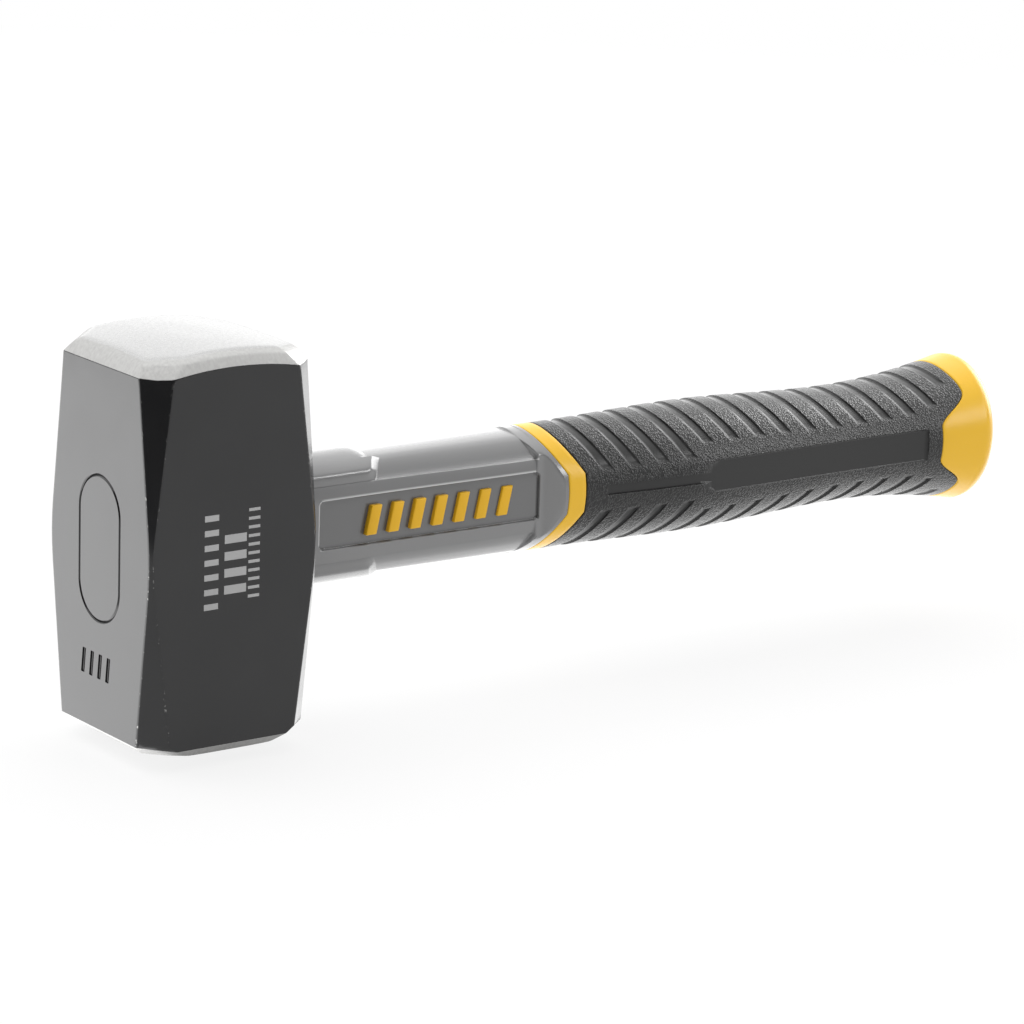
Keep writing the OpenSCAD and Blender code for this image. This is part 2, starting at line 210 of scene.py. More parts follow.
smudges, i, o = new_group("Smudges", {"Point": (0.0, 0.0, 0.0), "Patch per metre": 60.0,
                                      "Low": 0.3, "High": 0.4}, {"Value": "NodeSocketFloat"})
patch = noise(smudges, i["Point"], i["Patch per metre"], 4.0, 0.55)
span = {0: patch, 1: 0.25, 2: 0.75, 3: i["Low"], 4: i["High"]}
soft = add(smudges, "ShaderNodeMapRange", span, interpolation_type="SMOOTHSTEP").outputs[0]
smudges.links.new(soft, o["Value"])

grinding, i, o = new_group(
    "Grinding marks", {"Point": (0.0, 0.0, 0.0), "Streaks per metre": 900.0, "Depth": 0.00003},
    {"Mask": "NodeSocketFloat", "Normal": "NodeSocketVector"})
drawn = add(grinding, "ShaderNodeVectorMath", {0: i["Point"], 1: (1.0, 1.0, 0.05)},
            operation="MULTIPLY").outputs[0]
streak = noise(grinding, drawn, i["Streaks per metre"], 3.0, 0.6)
grinding.links.new(remap(grinding, streak, 0.3, 0.7), o["Mask"])
grinding.links.new(bump(grinding, streak, i["Depth"]), o["Normal"])
print("groups", [g.name for g in bpy.data.node_groups])

# %% [markdown]
# ## Finishes
# The forged sides wear a gloss black lacquer over dark primer. Where a belt ground the
# striking faces and their bevels, the lacquer stops in a clean line and bright steel shows.

# %% Lacquer and steel
def lacquer(name, worn):
    """Black lacquer. On worn edges it is chipped, and bright steel shows in the chips."""
    material, tree, shader = new_material(name, **{"IOR": 1.5, "Specular IOR Level": 0.5})
    p = here(tree)
    tone = use(tree, smudges, Point=p, Patch_per_metre=40.0, Low=0.0, High=1.0)[0]
    colour = blend(tree, tone, (0.006, 0.006, 0.0065), (0.009, 0.009, 0.0095))
    if worn:
        chips = remap(tree, noise(tree, p, 1300.0, 4.0, 0.65), 0.6, 0.66)
        colour = blend(tree, chips, colour, (0.2, 0.2, 0.195))
        wire(tree, shader, {"Metallic": chips})
    gloss = use(tree, smudges, Point=p, Patch_per_metre=90.0, Low=0.17, High=0.23)[0]
    peel = use(tree, speckle, Point=p, Grain_per_metre=900.0, Depth=0.000001)[0]
    wire(tree, shader, {"Base Color": colour, "Roughness": gloss, "Normal": peel})
    return material


def ground_steel(name, rough, colour, depth):
    """Bright steel with a belt's streaks: a little darker and rougher in each streak."""
    material, tree, shader = new_material(name, **{"Metallic": 1.0, "IOR": 2.5})
    p = here(tree)
    marks = use(tree, grinding, Point=p, Streaks_per_metre=1500.0, Depth=depth)
    tone = blend(tree, marks[0], tuple(0.86 * c for c in colour), colour)
    gloss = remap(tree, marks[0], 0.0, 1.0, rough + 0.05, rough - 0.03)
    wire(tree, shader, {"Base Color": tone, "Roughness": gloss, "Normal": marks[1]})
    return material


LACQUER = lacquer("black_lacquer", False)
WORN_EDGE = lacquer("worn_lacquer_edge", True)
BEVEL_STEEL = ground_steel("ground_bevel_steel", 0.42, (0.36, 0.358, 0.352), 0.000012)
FACE_STEEL = ground_steel("polished_face_steel", 0.26, (0.345, 0.345, 0.343), 0.000002)

# %% [markdown]
# The neck is a grey moulding with an even tone under a gloss skin. Its recess and some edges
# carry painted shade and painted highlights. The ring and the butt are a softer yellow, and
# the grip is black rubber with a leather-like pebble. The pebble is a cell pattern of about
# two cells to a millimetre, pulled about by noise. Its tops are painted a little paler than
# its valleys, as painted light and shade on the pebble.

# %% Plastics and rubber
def plastic(name, dark, light, low, high, sunk=None, **settings):
    """A moulded plastic. Where the piece's "sunk" attribute is 1 it takes that colour, a painted
    shade, and it darkens to almost black, a deeper painted shade, where it is 2. Where it is -1
    the edge is painted pale, a painted highlight."""
    material, tree, shader = new_material(name, **settings)
    p = here(tree)
    tone = use(tree, smudges, Point=p, Patch_per_metre=35.0, Low=0.0, High=1.0)[0]
    colour = blend(tree, tone, dark, light)
    if sunk:
        inside = add(tree, "ShaderNodeAttribute", attribute_name="sunk").outputs["Fac"]
        colour = blend(tree, inside, colour, sunk)
        # Painted shade: where "sunk" is above 1 the colour darkens to near black.
        painted_wall_shade_share = maths(tree, "SUBTRACT", inside, 1.0, clamp=True)
        # Painted highlight: where "sunk" is below 0 the colour turns pale.
        pale = maths(tree, "MULTIPLY", inside, -1.0, clamp=True)
        for share, shade in ((painted_wall_shade_share, 0.015), (pale, 0.5)):
            colour = blend(tree, share, colour, (shade, shade, shade))
    gloss = use(tree, smudges, Point=p, Patch_per_metre=120.0, Low=low, High=high)[0]
    skin = use(tree, speckle, Point=p, Grain_per_metre=2500.0, Depth=0.000008)[0]
    wire(tree, shader, {"Base Color": colour, "Roughness": gloss, "Normal": skin})
    return material


def rubber():
    """Pebbled rubber. It is plain and smooth where the piece's "smooth" attribute is 1."""
    material, tree, shader = new_material("pebbled_rubber", **{
        "IOR": 1.5, "Specular IOR Level": 0.2, "Coat Weight": 0.6, "Coat Roughness": 0.32})
    p = here(tree)
    smooth = add(tree, "ShaderNodeAttribute", attribute_name="smooth").outputs["Fac"]
    clouds = {"Vector": p, "Scale": 1500.0, "Detail": 2.0}
    bend = add(tree, "ShaderNodeTexNoise", clouds).outputs["Color"]
    pulled = add(tree, "ShaderNodeVectorMath", {0: bend, 1: (0.0006, 0.0006, 0.0006), 2: p},
                 operation="MULTIPLY_ADD").outputs[0]
    cells = add(tree, "ShaderNodeTexVoronoi", {"Vector": pulled, "Scale": 1900.0})
    pebble = remap(tree, cells.outputs["Distance"], 0.65, 0.15)
    moulded = maths(tree, "SUBTRACT", 1.0, smooth, clamp=True)
    pebble = maths(tree, "MULTIPLY", pebble, moulded)
    fine = noise(tree, p, 3500.0, 3.0, 0.6)
    height = maths(tree, "MULTIPLY_ADD", fine, 0.12, pebble)
    # Painted light and shade: the pebble's tops are paler and its valleys darker.
    tone = maths(tree, "MULTIPLY_ADD", maths(tree, "SUBTRACT", 1.0, moulded), 0.35, pebble)
    wire(tree, shader, {
        "Base Color": blend(tree, tone, (0.001, 0.001, 0.001), (0.014, 0.014, 0.0137)),
        "Roughness": remap(tree, smooth, 0.0, 1.0, 0.36, 0.3),
        "Normal": bump(tree, height, 0.00015), "Coat Normal": bump(tree, height, 0.00006)})
    return material


# The neck's darker recess colour is painted shade.
GREY = plastic("satin_grey_moulding", (0.138, 0.138, 0.139), (0.138, 0.138, 0.139), 0.27, 0.27,
               sunk=(0.082, 0.082, 0.083), **{"Coat Weight": 1.0, "Coat Roughness": 0.2})
YELLOW = plastic("yellow_moulding", (0.655, 0.379, 0.011), (0.685, 0.396, 0.014), 0.31, 0.35,
                 **{"Specular IOR Level": 0.35, "Coat Weight": 0.15, "Coat Roughness": 0.3})
RUBBER = rubber()
RESIN = plastic("cast_resin", (0.22, 0.19, 0.13), (0.32, 0.28, 0.2), 0.4, 0.55)
GLASS_FIBRE = plastic("glass_fibre_rod", (0.6, 0.55, 0.38), (0.75, 0.7, 0.5), 0.4, 0.5)
print("finishes", [m.name for m in bpy.data.materials])

# %% [markdown]
# ## Mesh helpers
# The large pieces here are tubes: rings of points, each joined to the next. A ring's points
# can follow a crease or an edge exactly, so the surface gets its facets from where its
# rows run, and needs few faces elsewhere.

# %% Mesh helpers
def tube_faces(rings, around, closed_loop):
    """Faces of a tube of rings. Open ends are capped, or the last ring joins the first."""
    faces = []
    for j in range(rings if closed_loop else rings - 1):
        a, b = j * around, (j + 1) % rings * around
        for i in range(around):
            after = (i + 1) % around
            faces.append((a + i, a + after, b + after, b + i))
    if not closed_loop:
        faces += [tuple(range(around)), tuple(range((rings - 1) * around, rings * around))]
    return faces


def tube(name, rings, materials, closed_loop=False, face_slots=None):
    """A piece from rings of points in millimetres, with its faces turned outwards."""
    mesh = bpy.data.meshes.new(name)
    mesh.from_pydata([place(p) for ring in rings for p in ring], [],
                     tube_faces(len(rings), len(rings[0]), closed_loop))
    for material in materials:
        mesh.materials.append(material)
    if face_slots:
        mesh.polygons.foreach_set("material_index", face_slots)
    work = bmesh.new()
    work.from_mesh(mesh)
    bmesh.ops.recalc_face_normals(work, faces=work.faces)
    work.to_mesh(mesh)
    work.free()
    mesh.shade_smooth()
    return linked(name, mesh)


def baked(piece):
    """Apply a piece's modifiers, so that it is a plain mesh."""
    graph = bpy.context.evaluated_depsgraph_get()
    mesh = bpy.data.meshes.new_from_object(piece.evaluated_get(graph), depsgraph=graph)
    piece.modifiers.clear()
    piece.data = mesh


def finish(piece, slot, *nodes):
    """Hand a piece to the frame: it rides on the hammer's one body."""
    if nodes:
        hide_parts(*nodes)
    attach(piece, "root")
    piece.data.calc_loop_triangles()
    print(piece.name, "has", len(piece.data.loop_triangles), "triangles")


def clustered(marks, coarse, near):
    """Places from the first mark to the last, close together beside each mark."""
    out = set()
    for a, b in zip(marks, marks[1:]):
        n = max(1, round((b - a) / coarse))
        out.update(a + (b - a) * k / n for k in range(n + 1))
        for d in near:
            if d < (b - a) * 0.45:
                out.update((a + d, b - d))
    kept = []
    for x in sorted(out):
        if not kept or x - kept[-1] > 0.05:
            kept.append(x)
    return kept

# %% [markdown]
# ## Marks
# Where the real hammer carries words, this one carries plain marks that say nothing: a
# row of raised slanted bars in the tray on each side of the neck, a printed scale of
# ticks on the near cheek, and short strokes stamped into the front under the eye. All of
# them are rows of equal bars, so one Geometry Nodes tree makes them all.

# %% Bar rows
def new_tree(name, numbers):
    """A Geometry Nodes tree with a piece, named numbers and a material going in."""
    tree = bpy.data.node_groups.new(name, "GeometryNodeTree")
    face = tree.interface
    face.new_socket("Geometry", in_out="INPUT", socket_type="NodeSocketGeometry")
    for key, value in numbers.items():
        kind = "NodeSocketInt" if isinstance(value, int) else "NodeSocketFloat"
        face.new_socket(key, in_out="INPUT", socket_type=kind).default_value = value
    face.new_socket("Material", in_out="INPUT", socket_type="NodeSocketMaterial")
    face.new_socket("Geometry", in_out="OUTPUT", socket_type="NodeSocketGeometry")
    return tree, add(tree, "NodeGroupInput").outputs


def close_tree(tree, geometry, material):
    """Give the result its material, and let it out of the tree."""
    done = box(tree, "GeometryNodeSetMaterial", {"Geometry": geometry, "Material": material})
    add(tree, "NodeGroupOutput", {"Geometry": done})
    return tree


def bar_tree():
    """A row of equal leaning blocks along X."""
    tree, i = new_tree("Bar row", {"Count": 7, "Pitch": 0.006, "Tall": 0.007, "Broad": 0.003,
                                   "Thick": 0.001, "Lean": 0.3})
    step = box(tree, "ShaderNodeCombineXYZ", {0: i["Pitch"]})
    line = box(tree, "GeometryNodeMeshLine", {"Count": i["Count"], "Offset": step})
    size = box(tree, "ShaderNodeCombineXYZ", {0: i["Broad"], 1: i["Thick"], 2: i["Tall"]})
    block = box(tree, "GeometryNodeMeshCube", {"Size": size})
    rows = box(tree, "GeometryNodeInstanceOnPoints", {"Points": line, "Instance": block})
    real = box(tree, "GeometryNodeRealizeInstances", {"Geometry": rows})
    position = box(tree, "GeometryNodeInputPosition")
    height = add(tree, "ShaderNodeSeparateXYZ", {0: position}).outputs[2]
    shift = box(tree, "ShaderNodeCombineXYZ", {0: maths(tree, "MULTIPLY", height, i["Lean"])})
    leant = box(tree, "GeometryNodeSetPosition", {"Geometry": real, "Offset": shift})
    return close_tree(tree, leant, i["Material"])


def run_tree(piece, tree, **values):
    """Put a tree on a piece with its inputs set by identifier, and make the result plain."""
    step = piece.modifiers.new(tree.name, "NODES")
    step.node_group = tree
    for item in tree.interface.items_tree:
        if item.item_type == "SOCKET" and item.in_out == "INPUT" and item.name in values:
            step[item.identifier] = values[item.name]
    baked(piece)


BARS = bar_tree()


def bar_row(name, material, start, turned, rounding, count, pitch, tall, broad, thick, lean):
    """A row of bars in millimetres. It is made along X, turned, and moved to its start."""
    mesh = bpy.data.meshes.new(name)
    mesh.materials.append(material)
    piece = linked(name, mesh)
    run_tree(piece, BARS, Count=count, Pitch=pitch * MM, Tall=tall * MM, Broad=broad * MM,
             Thick=thick * MM, Lean=lean, Material=material)
    piece.data.transform(Matrix.Translation(place(start)) @ turned.to_4x4())
    if rounding:
        soft = piece.modifiers.new("rounding", "BEVEL")
        soft.width, soft.segments = rounding * MM, 2
        baked(piece)
        piece.data.shade_smooth()
        piece.data.set_sharp_from_angle(angle=math.radians(50))
    return piece


# %% [markdown]
# ## Head
# The head is a forged block. Its four corners are cut by facets that grow towards the
# ends, and each end is ground: a bevel all round, then a slightly domed striking face.
# It could be one box with modifiers, but its edges are not where a box has them. So it
# is a stack of eight-sided rings, and each ring's height follows the edge it stands for.

# %% The head's surfaces
BEVEL_Z = HZ - 5.5                     # where the bevels of front, back and corners start
RISE, LOW_RISE = 3.5, 1.7              # height of the upper and of the lower bevel
FRONT_IN, CHEEK_IN, CORNER_IN = 2.4, 2.2, 3.5      # how far a bevel leans in over its rise
UP_R, LOW_R, ACROSS_R, PAD = 96.0, 70.0, 320.0, 5.0        # domes, and their flat middle
UP_C = HZ - math.sqrt(UP_R ** 2 - PAD ** 2)        # the upper wheel's centre
LOW_C = HZ - math.sqrt(LOW_R ** 2 - PAD ** 2)
UP_RIM, LOW_Z = UP_R - 4.0, HZ - 4.8   # where the bevels of the cheeks start
PRINT_ROOM = 0.02                      # the cheeks lie this far in, so the print may stand out
THIN, THICK, WAIST = 0.2, 5.6, 7.0     # corner facet: cut at middle and ends, soft waist


def past_bevel(z):
    return max(0.0, abs(z) - BEVEL_Z) / (RISE if z > 0 else LOW_RISE)


def front_x(z):
    """Half length along the handle at height z."""
    return HW - FRONT_IN * past_bevel(z)


def cheek_y(x, z):
    """Half width across the cheeks."""
    past = math.hypot(x, z - UP_C) - UP_RIM if z > 0 else -z - LOW_Z
    return HW - PRINT_ROOM - max(0.0, past) * CHEEK_IN / RISE


def corner_r(z):
    """Distance from the head's axis to a corner facet."""
    h, k = min(abs(z), BEVEL_Z), (THICK - THIN) / BEVEL_Z
    cut = THIN + k * (h if h > WAIST else (h * h / WAIST + WAIST) / 2)
    return (2 * HW - cut) / math.sqrt(2) - CORNER_IN * past_bevel(z)


def crown(x, y, side):
    """Height of a striking face, flat at the very middle: the upper one is part of a
    wheel, and the lower one is domed both ways with a squarish outline."""
    if side < 0:
        return -min(HZ, LOW_C + math.sqrt(LOW_R ** 2 - math.sqrt(x ** 4 + y ** 4)))
    tread = UP_R - (ACROSS_R - math.sqrt(ACROSS_R ** 2 - y * y))
    return min(HZ, UP_C + math.sqrt(tread ** 2 - x * x))


# %% Rings of the head
NEAR = (0.0, 0.1, 0.25, 0.5)                        # distances from a crease
FACET_AT = (0.0, 0.02, 0.05, 0.1, 0.5, 0.9, 0.95, 0.98)
WIDE, NARROW = 20, len(FACET_AT)       # points on a broad side and on a corner facet
AROUND = 4 * (WIDE + NARROW)
SOFT = 0.26 / HW                       # how far a crease is rounded


def octagon(x, z):
    """The two corners beside the near front edge: on the front and on the near cheek."""
    reach = corner_r(z) * math.sqrt(2)
    return reach - front_x(z), reach - cheek_y(x, z)


def side_at(step, half):
    """Place of a point on a broad side, from -half to half, closer beside the creases."""
    if step < 4:
        return NEAR[step] - half
    if step > WIDE - 4:
        return half - NEAR[WIDE - step]
    return (half - NEAR[3]) * (2 * (step - 3) / (WIDE - 6) - 1)


def soft_max(a, b, k):
    """The larger of two values, rounded over where they are within k of each other."""
    h = max(k - abs(a - b), 0.0) / k
    return max(a, b) + h * h * k / 4


def head_point(k, height):
    """Point k of a ring. height(x, y, share) gives its level; share is 1 on a cheek."""
    quarter, step = divmod(k, WIDE + NARROW)
    x, y, z = HW, HW, 0.0
    for _ in range(12):
        y1, x1 = octagon(x, z)
        front, cheek = (front_x(z), y1), (x1, cheek_y(x1, z))
        if step >= WIDE:                       # on the corner facet that follows a side
            share = FACET_AT[step - WIDE]
            share = share if quarter % 2 == 0 else 1 - share
            x, y = (a + (b - a) * share for a, b in zip(front, cheek))
        elif quarter % 2 == 0:                 # on the front or back
            x, y, share = front[0], side_at(step, y1), 0.0
        else:                                  # on a cheek
            x, share = side_at(step, x1), 1.0
            y = cheek_y(x, z)
        z = height(x, y, share)
    u = soft_max(abs(x) / front_x(z), abs(y) / cheek_y(x, z), SOFT)
    u = soft_max(u, (abs(x) + abs(y)) / math.sqrt(2) / corner_r(z), SOFT)
    x, y = x / u, y / u
    turn_x, turn_y = ((-1, -1), (1, -1), (1, 1), (-1, 1))[quarter]
    return (x * turn_x, y * turn_y, height(x, y, share))


def upper_edge(x, y, share):
    """Level where the lacquer stops at the top."""
    return BEVEL_Z + share * (UP_C + math.sqrt(UP_RIM ** 2 - min(abs(x), 20) ** 2) - BEVEL_Z)


def lower_edge(x, y, share):
    """Level where the lacquer stops at the bottom."""
    return -BEVEL_Z - share * (LOW_Z - BEVEL_Z)


def dome(ring, side):
    """Smaller and smaller copies of a ring, laid on a striking face."""
    return [[(x * k, y * k, crown(x * k, y * k, side)) for x, y, z in ring] for k in DOME]


INSIDE = 1.5                           # the first full ring inside a bevel
BETWEEN = (-36, -29, -22, -15, -10.5, -7, -3.5, 0, 3.5, 7, 10.5, 15, 22, 29, 36)
DOME = (0.86, 0.66, 0.46, 0.27, 0.12)
levels = [lambda x, y, s: crown(x, y, -1), lower_edge,
          lambda x, y, s: lower_edge(x, y, s) + INSIDE]
levels += [lambda x, y, s, h=h: h for h in BETWEEN]
levels += [lambda x, y, s: upper_edge(x, y, s) - INSIDE, upper_edge,
           lambda x, y, s: crown(x, y, 1)]
rings = [[head_point(k, level) for k in range(AROUND)] for level in levels]
rings = dome(rings[0], -1)[::-1] + rings + dome(rings[-1], 1)
print("head rings", len(rings), "of", AROUND, "points; lacquer stops at",
      round(rings[-len(DOME) - 2][WIDE + NARROW + WIDE // 2][2], 2), "on a cheek")

# %% [markdown]
# The upright creases are rounded by the ring's own points, because a corner facet is too
# thin at the waist for a Bevel modifier. That modifier rounds the rings: widely where a
# bevel runs into the upper striking face, less at the lower one, and barely where the
# lacquer stops. The eye is an oval hole through the head, pinched at its middle. It is
# cut by a Boolean, and its mouth is eased a little, which leaves the fine line round the
# plug.

# %% Head piece
n, last = len(DOME), len(DOME) + len(levels) - 1     # the rings at the two crown edges
CREASED = {0, 1, WIDE - 2, WIDE - 1, WIDE, WIDE + 1, WIDE + NARROW - 2, WIDE + NARROW - 1}
HEAD_FINISHES = [LACQUER, BEVEL_STEEL, FACE_STEEL, WORN_EDGE]
BLACK_SLOT, BEVEL_SLOT, FACE_SLOT, EDGE_SLOT = range(4)
slots = []
for j in range(len(rings) - 1):
    if j < n or j >= last:
        slots += [FACE_SLOT] * AROUND
    elif j in (n, last - 1):
        slots += [BEVEL_SLOT] * AROUND
    else:
        slots += [EDGE_SLOT if k % (WIDE + NARROW) in CREASED else BLACK_SLOT
                  for k in range(AROUND)]
head = tube("head_forging", rings, HEAD_FINISHES, face_slots=slots + [FACE_SLOT] * 2)
weights = head.data.attributes.new("bevel_weight_edge", "FLOAT", "EDGE")
EDGE_ROWS = {n: 0.4, n + 1: 0.1, last - 1: 0.1, last: 1.0}       # share of the full rounding
for edge in head.data.edges:
    ja, jb = (v // AROUND for v in edge.vertices)
    if ja == jb and ja in EDGE_ROWS:
        weights.data[edge.index].value = EDGE_ROWS[ja]
rounding = head.modifiers.new("rounding", "BEVEL")
rounding.limit_method, rounding.width, rounding.segments = "WEIGHT", 1.8 * MM, 5
rounding.use_clamp_overlap = False


EYE_W, PINCH, EYE_SPAN = 17.6, 2, 16.4


def oval_ring(x, width, around=64):
    """An upright oval at x: two round ends joined by straight sides."""
    out = []
    for k in range(around):
        t = 2 * math.pi * k / around
        z = width / 2 * math.sin(t)
        straight = math.copysign(EYE_SPAN / 2, z if abs(z) > 1e-9 else 1)
        out.append((x, width / 2 * math.cos(t), z + straight))
    return out


def eye_at(x):
    """Width of the eye, narrowest at the middle of the head."""
    return EYE_W - PINCH * (1 - abs(x) / HW)


eye_rings = [oval_ring(x, eye_at(x) + wider) for x, wider in
             ((-HW - 1, 2.9), (-HW, 0.7), (-HW + 0.2, 0.2), (-HW + 0.6, 0), (0, 0),
              (HW - 0.6, 0), (HW, 0.3), (HW + 1, 2.5))]
cutter = tube("eye_cutter", eye_rings, [LACQUER])
# Four strokes are stamped in under the eye. A row along X is turned to run along Y.
ACROSS = Matrix.Rotation(math.radians(-90), 3, "Z")
punch = bar_row("punch", LACQUER, (-HW - 0.1, 6.6, -27.5), ACROSS, 0.25,
                count=4, pitch=3.55, tall=5.9, broad=1.5, thick=1.2, lean=0.12)
for tool in (cutter, punch):
    hole = head.modifiers.new(tool.name, "BOOLEAN")
    hole.object, hole.operation, hole.solver = tool, "DIFFERENCE", "EXACT"
baked(head)
for tool in (cutter, punch):
    bpy.data.objects.remove(tool)
head.data.set_sharp_from_angle(angle=math.radians(38))
# The true planes are shaded flat, so that holes cut in them leave no streaks.
for face in head.data.polygons:
    if max(abs(face.normal.x), abs(face.normal.y)) > 0.99999:
        face.use_smooth = False
flat = head.modifiers.new("flat sides", "WEIGHTED_NORMAL")
flat.keep_sharp, flat.weight = True, 80
baked(head)
finish(head, "head", "head")

# %% [markdown]
# The plug, the resin behind it and the glass-fibre rod keep their CAD shapes. They only
# need their finishes: the plug is lacquered together with the head.

# %% Finishes of the carried-over solids
for node, material in (("eye_plug", LACQUER), ("eye_resin", RESIN), ("core_rod", GLASS_FIBRE)):
    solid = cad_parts[node]
    solid.data.materials.clear()
    solid.data.materials.append(material)

# %% [markdown]
# ## Neck
# The neck is a grey moulding between the head and the grip: flat sides, four sloping
# facets, and a rounded top and bottom. A collar thickens it at the head, a flare leads
# up to the ring, and each side has a shallow tray. Every edge of it runs either along
# the neck or on one slant, so it is a tube whose rows and columns follow those edges.

# %% The neck's section
LEAN_C, LEAN_S = math.cos(math.radians(38.2)), math.sin(math.radians(38.2))
RING_X, RING_L, RING_A, RING_B = 100.1, 4.95, 12.1, 15.35  # place, length, half sizes
SLANT, SLANT_Z, FACET_Z = 0.69, 4.8, 9.3   # the slant, and the levels where it sets in
COLLAR_END, COLLAR_WALL = 44.7, 2.4        # the collar, and the length of its slanted wall
WALL_X, FLARE_X, SMOOTH_X, NECK_END = 92.4, 93.8, 94.4, 99.1       # places in the flare
TRAY_X, TRAY_L, TRAY_H, TRAY_R, TRAY_DEEP = 62.6, 31.0, 5.9, 1.2, 0.8


def bar_sizes(x):
    """Half width of the flat sides, distance of the facets, radius of top and bottom."""
    m = ease(x, HW + 25, WALL_X)
    return 8.3 + 0.8 * m, 12.25 + 0.5 * m, 14.3 + 0.7 * (x - HW) / 81.05


def bar_radius(x, cy, cz):
    """Distance from the axis to the plain section, in the direction (cy, cz)."""
    a, fa, r = bar_sizes(x)
    u = soft_max(cy / a, (cy * LEAN_C + cz * LEAN_S) / fa, 0.24 / a)
    return 1 / soft_max(u, 1 / r, 0.03 / a)


def collar_radius(cy, cz):
    """The collar's section: a round top set high above the axis, with upright sides."""
    r, up = 9.1, 6.8
    t = cz * up + math.sqrt((cz * up) ** 2 + r * r - up * up)
    return t if t * cz > up else r / max(cy, 1e-6)


def ellipse_radius(cy, cz):
    """The ring's section, which the flare leads up to."""
    return 1 / math.hypot(cy / RING_A, cz / RING_B)


def corners(x):
    """Where the flat side meets the facet, and where the facet meets the top."""
    a, fa, r = bar_sizes(x)
    t = math.sqrt(r * r - fa * fa)
    return (a, (fa - LEAN_C * a) / LEAN_S), (LEAN_C * fa - LEAN_S * t, LEAN_S * fa + LEAN_C * t)


def slants(s):
    """How far a column leans along the neck, above 9.3 and above 4.8 mm from the axis."""
    a = SLANT * (ease(s, HW, 40) - 2 * ease(s, 50, 88) + ease(s, 93, NECK_END))
    return a, -SLANT * ease(s, SMOOTH_X, NECK_END)


def ramp(x):
    """Half width of the flare in front of the ring, with a soft start."""
    t = max(0.0, x - FLARE_X)
    return 9.1 + 3.0 * min(1.0, (t * t / 2.4 if t < 1.2 else t - 0.6) / 4.7)


def tray_gap(x, z):
    """Distance outside the outline of the side recess, negative inside it."""
    qx, qz = abs(x - TRAY_X) - (TRAY_L - TRAY_R), abs(z) - (TRAY_H - TRAY_R)
    return math.hypot(max(qx, 0), max(qz, 0)) + min(max(qx, qz), 0) - TRAY_R


def tray(x, z):
    """1 on the floor of the side recess, 0 outside it."""
    return 1 - ease(tray_gap(x, z), -0.28, 0.04)


def painted_wall_shade(x, z):
    """1 at the foot of the recess's lower and rear wall, where the plastic paints a near-black
    shade.
    """
    gap = tray_gap(x, z)
    return (z < -4 or x > 92.0) * ease(gap, -0.7, -0.45) * (1 - ease(gap, -0.16, 0.0))


def painted_edge_highlight(x, z, kind, v):
    """Minus 1 on the thin edges that catch the light: the crease above a side, and the
    upper and front rim of its recess. The plastic paints these edges pale, as a painted highlight."""
    crease = {("edge", 0.2): 0.4, ("edge", 0.1): 0.9, ("facet", 0): 1.0, ("facet", 0.018): 0.9,
              ("facet", 0.036): 0.4}.get((kind, v), 0.0) * (46.0 < x < 93.0)
    gap = tray_gap(x, z)
    lit = z > -4.5 if x < 33 else z > 0 and x < WALL_X
    rim = ease(gap, -0.02, 0.06) * (1 - ease(gap, 0.2, 0.3)) * lit * (kind == "side")
    return -0.8 * max(crease * (z > 0), rim)


# %% Neck piece
SIDE_Z = [0, 1.5, 3, 4.2, 4.8, 5.3, 5.55, 5.68, 5.78, 5.87, 5.96, 6.1, 6.5, 7.3, 8.2]
EDGE_Z = [0.6, 0.42, 0.3, 0.2, 0.1]              # below the crease between side and facet
FACET = [0, 0.018, 0.036, 0.055, 0.08, 0.14, 0.3, 0.5, 0.7, 0.86, 0.92, 0.96, 0.985]
TOP = [0, 0.02, 0.05, 0.1, 0.2, 0.35, 0.5, 0.65, 0.8, 0.9, 1.0]
quarter_rows = ([("side", v) for v in SIDE_Z] + [("edge", v) for v in EDGE_Z]
                + [("facet", v) for v in FACET] + [("top", v) for v in TOP])


def wrapped_radius(x, cy, cz, z):
    """Distance from the axis on the facets and the top, with the collar and the flare."""
    r = bar_radius(x, cy, cz)
    end = COLLAR_END + SLANT * max(z - FACET_Z, 0)
    lift = min(1.0, max(0.0, (end + COLLAR_WALL - x) / COLLAR_WALL)) * ease(r * cz, 9.2, 9.5)
    r = max(r, r + (collar_radius(cy, cz) - r) * lift)
    wall = WALL_X - SLANT * max(r * cz - FACET_Z, 0)
    flare = min(ellipse_radius(cy, cz), ramp(x) / max(cy, 1e-6))
    return r + max(0.0, flare - r) * ease(x, wall - 0.05, wall + 0.35)


def neck_point(s, kind, v):
    """A point of the quarter section (both coordinates positive) on column s."""
    z, x, side = (v if kind == "side" else 9.0), s, kind in ("side", "edge")
    for _ in range(5):
        a, b = slants(s)
        x = s + a * max(z - FACET_Z, 0) + b * max(z - SLANT_Z, 0)
        low, high = corners(x)
        if side:
            z = v if kind == "side" else low[1] - v
            d = math.hypot(low[0], z)
            y = bar_radius(x, low[0] / d, z / d) * low[0] / d
        else:
            if kind == "facet":
                y, z = low[0] + (high[0] - low[0]) * v, low[1] + (high[1] - low[1]) * v
            else:
                t = math.atan2(high[1], high[0])
                t += (math.pi / 2 - t) * v
                y, z = math.cos(t), math.sin(t)
            d = math.hypot(y, z)
            cy, cz = y / d, z / d
            r = wrapped_radius(x, cy, cz, z)
            y, z = r * cy, r * cz
    if side:
        outer = min(RING_A * math.sqrt(1 - (z / RING_B) ** 2), ramp(x))
        y += max(0.0, outer - y) * ease(x, 92.35, 92.75)
        y -= TRAY_DEEP * tray(x, z)
    # The last column turns in by 0.22 mm, which leaves the joint line beside the ring.
    turned_in = ease(s, RING_X - 0.16, RING_X - 0.02)
    d = math.hypot(y, z)
    return (x, y * (1 - 0.22 * turned_in / d), z * (1 - 0.22 * turned_in / d))


